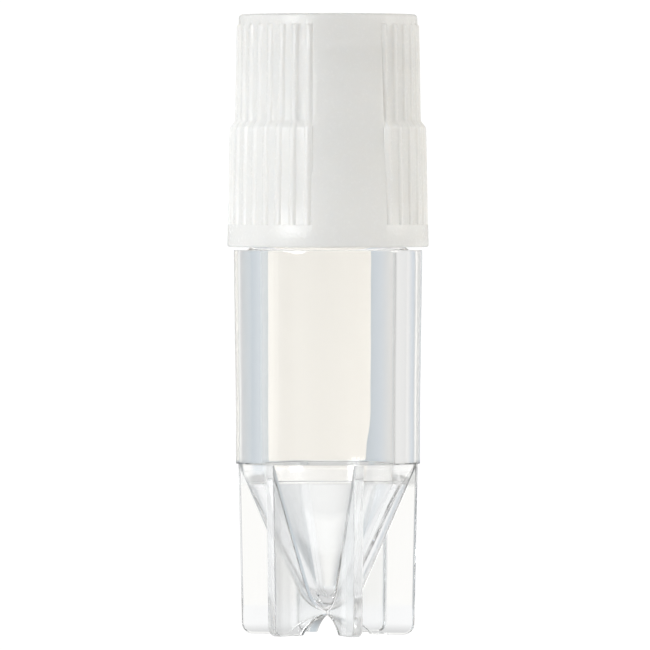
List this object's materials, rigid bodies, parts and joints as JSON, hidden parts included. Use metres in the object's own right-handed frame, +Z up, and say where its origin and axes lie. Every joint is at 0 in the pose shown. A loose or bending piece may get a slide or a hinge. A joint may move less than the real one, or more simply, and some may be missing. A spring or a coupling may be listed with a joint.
{
  "type": "cryogenic vial",
  "caption": "Clear self-standing storage tube with a hollow conical bottom on a finned foot, closed by a ribbed white screw cap over its outside thread, with a soft sealing washer inside.",
  "frame": {"origin": "middle of the foot, on the surface the vial stands on", "axes": "+Z up along the tube's axis, towards the cap; -Y towards the front, where one smooth panel of the cap faces a little to +X"},
  "size_m": [0.0134, 0.0134, 0.0413],
  "materials": {
    "clear_tube": "clear moulded polycarbonate, glossy",
    "white_cap": "milky white moulded polyethylene, satin",
    "soft_washer": "pale silicone, satin"
  },
  "bodies": {
    "vial": {"vial": "clear_tube"},
    "seal": {"seal_washer": "soft_washer"},
    "cap": {"cap": "white_cap"}
  },
  "joints": [
    {"name": "cap_rise", "type": "slide", "parent": "vial", "child": "seal", "axis": [0, 0, 1], "range_m": [0, 0.0135]},
    {"name": "cap_turn", "type": "hinge", "parent": "seal", "child": "cap", "pos_m": [0, 0, 0.034], "axis": [0, 0, 1], "range_deg": [0, 1620]}
  ],
  "couplings": [
    {"joint": "cap_rise", "follows": "cap_turn", "m_per_rad": 0.00047746}
  ]
}
